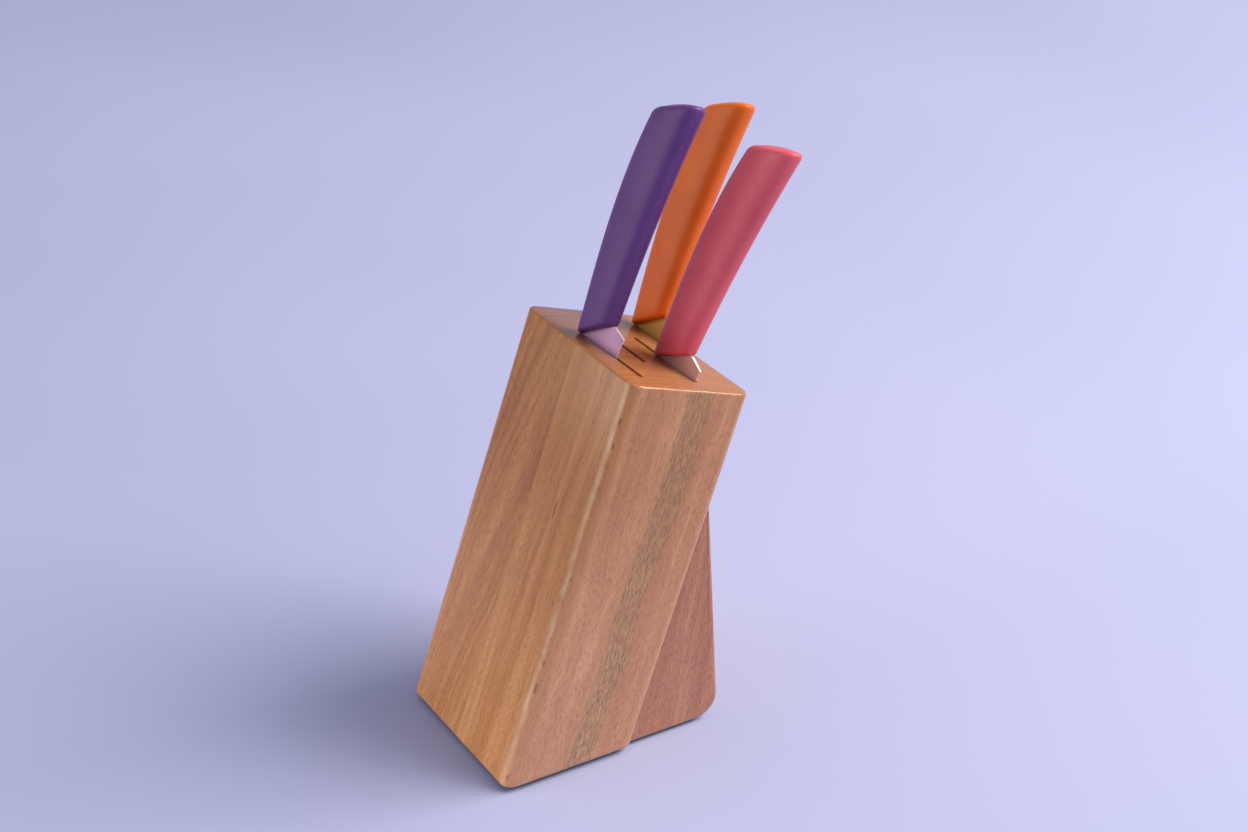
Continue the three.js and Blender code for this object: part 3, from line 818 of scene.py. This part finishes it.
def rim_highlight_steel():
    """Whitish steel, a painted highlight on the blade's upper rim where it faces up: bright, with fine
    lines like grinding."""
    def surface(tree):
        place = add(tree, "TexCoord").outputs["Object"]
        # Fine lines like grinding run through the blade's thickness, about 0.05 mm apart, drawn 0.3 mm apart.
        stretched = add(tree, "Mapping", place, None, None, (3000.0, 60.0, 3000.0))
        lines = add(tree, "TexNoise", stretched, 1.0, 1.0)
        return {
            "Base Color": add(tree, "ValToRGB", lines, stops=((0.3, "#E4E2E6"), (0.7, "#FAF8FA"))),
            "Roughness": add(tree, "MapRange", lines, 0.3, 0.7, 0.34, 0.46),
            "Metallic": 0.35,
        }
    return new_material("whitish steel, painted rim highlight", surface)


def follow(curve, along):
    """Straight-line reading of a curve of (along, across) points."""
    for (a0, c0), (a1, c1) in zip(curve, curve[1:]):
        if along <= a1:
            return c0 + (c1 - c0) * (along - a0) / (a1 - a0)
    return curve[-1][1]


def blade_top(breadth):
    """The upper end of the bare blade, which follows the handle's end and then the sloping shoulder."""
    if breadth <= SHOULDER_START:
        return NECK_END["middle"] + NECK_END["slope"] * (breadth - MIDDLE_BREADTH) - BLADE_TO_HANDLE
    start = blade_top(SHOULDER_START)
    return start + (HEEL_HEIGHT - start) * (breadth - SHOULDER_START) / (HEEL_BREADTH - SHOULDER_START)


def blade_point(across, along, length):
    """A point of the blade's face: across from 0 at the spine to 1 at the edge, along from top to tip."""
    heel = HEEL_BREADTH
    kink = (SHOULDER_START - BLADE_SPINE) / (heel - BLADE_SPINE)
    top_breadth = BLADE_SPINE + (heel - BLADE_SPINE) * across
    top = blade_top(top_breadth)
    edge_curve = ((-HEEL_HEIGHT / length, 1.0),) + EDGE_CURVE
    spine_drop = along * length + blade_top(BLADE_SPINE) * -(1 - along)
    edge_drop = along * length - HEEL_HEIGHT * (1 - along)
    drop = spine_drop + (edge_drop - spine_drop) * across
    share = drop / length
    height = -drop
    if along < SLOPING_SHARE:
        height = top + (height - top) * (along / SLOPING_SHARE)
        share = -height / length
    spine = heel * follow(SPINE_CURVE, max(share, 0.0))
    edge = heel * follow(edge_curve, share)
    breadth = spine + (edge - spine) * across
    bevel = max(0.0, (across - kink) / (1 - kink))
    # Nearly full thickness along the shoulder, ground down to the edge just below the heel.
    ground = SHOULDER_GRIND + HEEL_GRIND * min(1.0, along / GRIND_REACH)
    thickness = BLADE_THICKNESS * (1.0 - ground * bevel)
    return -breadth, thickness / 2, height


def build_blade(knife, length, coating, bare):
    """Two mapped grids, one for each face of the blade, bridged round their rims, plus the tang. The second
    material is a painted highlight on the upper rim.
    """
    bm = bmesh.new()
    rims = []
    for side in (1, -1):
        made = bmesh.ops.create_grid(
            bm, x_segments=BLADE_STEPS_ACROSS, y_segments=BLADE_STEPS_ALONG, size=0.5,
        )
        verts = made["verts"]
        for vert in verts:
            x, y, z = blade_point(vert.co.x + 0.5, vert.co.y + 0.5, length)
            vert.co = (x, side * y, z)
        inside = set(verts)
        rims += [edge for edge in bm.edges if edge.is_boundary and edge.verts[0] in inside]
    edges_round = bmesh.ops.bridge_loops(bm, edges=rims)
    # The blade's upper rim, from the handle down over the shoulder, where it faces up, gets whitish steel as
    # a painted highlight.
    for face in edges_round["faces"]:
        middle = face.calc_center_median()
        if middle.z > -HEEL_HEIGHT - RIM_HIGHLIGHT_BELOW_HEEL and -middle.x > BLADE_SPINE + RIM_HIGHLIGHT_FROM_SPINE:
            face.material_index = 1
    tang = bmesh.ops.create_cube(bm, size=1.0)
    bottom, top = TANG["bottom"], TANG["top"]
    for vert in tang["verts"]:
        x, y, z = vert.co
        x = TANG["middle"] + x * TANG["width"]
        y = y * BLADE_THICKNESS * TANG["thickness"]
        vert.co = (x, y, (bottom + top) / 2 + z * (top - bottom))
    node = knife + "_blade"
    place_on_node(bm, knife_matrix(knife + "_knife_lift"), node)
    finish_piece(bm, node + "_ground", knife + "_knife", node, [coating, bare], 30)


# ---------------------------------------------------------------- small materials


def moulded_rubber():
    """Dull black rubber, dusty grey where it is rubbed."""
    def surface(tree):
        cloud = add(tree, "TexNoise", add(tree, "TexCoord").outputs["Object"], 300.0, 3.0)
        return {
            "Base Color": add(tree, "ValToRGB", cloud, stops=((0.3, "#262525"), (0.7, "#3A3938"))),
            "Roughness": add(tree, "MapRange", cloud, 0.3, 0.7, 0.7, 0.85),
        }
    return new_material("moulded rubber", surface)


# ---------------------------------------------------------------- making the object


def make_block():
    beech = block_beech()
    for index in range(len(BOARDS)):
        build_board(index, beech)
    build_wedge(wedge_beech())
    rubber = moulded_rubber()
    for node in ("pad_rear_left", "pad_rear_right", "pad_front_left", "pad_front_right"):
        build_pad(node, rubber)
    dowel_wood = dowel_beech()
    for node in ("dowel_left", "dowel_right"):
        frame["nodes"][node].data.materials.clear()
        frame["nodes"][node].data.materials.append(dowel_wood)


def make_knives():
    # Whitish steel, the painted highlight on each blade's upper rim.
    bare = rim_highlight_steel()
    for knife in KNIVES:
        name = knife["name"]
        plastic = moulded_plastic(name + " handle polypropylene", *knife["plastic"])
        steel = coated_steel(name + " blade, coated steel", *knife["coating"])
        build_handle(name, plastic)
        build_blade(name, knife["length"], steel, bare)


def make_camera():
    """The camera stands behind the block, to its -X side, and looks down on it. Returns the directions to
    its right and back towards it."""
    azimuth, elevation, roll = map(math.radians, (CAMERA_AZIMUTH, CAMERA_ELEVATION, CAMERA_ROLL))
    level = math.cos(elevation)
    back = Vector((math.sin(azimuth) * level, -math.cos(azimuth) * level, math.sin(elevation)))
    right = (-back).cross(Vector((0.0, 0.0, 1.0))).normalized()
    up = right.cross(-back)
    aim = Vector((BLOCK_FOOT.x, BLOCK_FOOT.y, AIM_HEIGHT)) + right * AIM_RIGHT + up * AIM_UP
    camera = bpy.data.objects.new("camera", bpy.data.cameras.new("camera"))
    bpy.context.scene.collection.objects.link(camera)
    turned_right = right * math.cos(roll) + up * math.sin(roll)
    turned_up = up * math.cos(roll) - right * math.sin(roll)
    turn = Matrix((turned_right, turned_up, back)).transposed()
    camera.matrix_world = Matrix.Translation(aim + back * CAMERA_DISTANCE) @ turn.to_4x4()
    camera.data.sensor_width = CAMERA_SENSOR_MM
    camera.data.lens = CAMERA_LENS_MM
    camera.data.clip_end = CAMERA_FAR_END
    bpy.context.scene.camera = camera
    return right, back


def area_light(name, place, aim, softbox):
    """A soft rectangular light that faces a point."""
    data = bpy.data.lights.new(name, "AREA")
    data.shape = "RECTANGLE"
    data.size, data.size_y = softbox["size"]
    data.energy = softbox["watts"]
    data.color = linear(softbox["colour"])[:3]
    light = bpy.data.objects.new(name, data)
    bpy.context.scene.collection.objects.link(light)
    turn = (aim - place).to_track_quat("-Z", "Y").to_matrix().to_4x4()
    light.matrix_world = Matrix.Translation(place) @ turn


def make_studio(right, back):
    """A pale lilac floor, a cool room, a large soft light from the camera's right and a low one from its
    left."""
    bm = bmesh.new()
    bmesh.ops.create_grid(bm, x_segments=1, y_segments=1, size=FLOOR_SIZE)
    mesh = bpy.data.meshes.new("floor")
    bm.to_mesh(mesh)
    bm.free()
    floor = bpy.data.objects.new("floor", mesh)
    bpy.context.scene.collection.objects.link(floor)

    def surface(tree):
        cloud = add(tree, "TexNoise", add(tree, "TexCoord").outputs["Object"], 1.6, 2.0)
        return {
            "Base Color": add(tree, "ValToRGB", cloud, stops=((0.3, "#AFB5D5"), (0.7, "#B7BCDA"))),
            "Roughness": 0.7,
            "Specular IOR Level": 0.1,
        }
    mesh.materials.append(new_material("painted board", surface))

    world = bpy.data.worlds.new("room")
    world.use_nodes = True
    backdrop = world.node_tree.nodes["Background"]
    backdrop.inputs["Color"].default_value = linear(ROOM_COLOUR)
    backdrop.inputs["Strength"].default_value = ROOM_STRENGTH
    bpy.context.scene.world = world

    aim = BLOCK_FOOT + Vector(LIT_POINT)
    flat_right = Vector((right.x, right.y, 0.0)).normalized()
    flat_back = Vector((back.x, back.y, 0.0)).normalized()
    for name, softbox in SOFTBOXES.items():
        to_right, to_camera, height = softbox["place"]
        place = aim + flat_right * to_right + flat_back * to_camera + Vector((0.0, 0.0, height))
        area_light(name, place, aim, softbox)


make_block()
make_knives()
camera_right, camera_back = make_camera()
make_studio(camera_right, camera_back)
bpy.context.scene.view_settings.view_transform = "Standard"
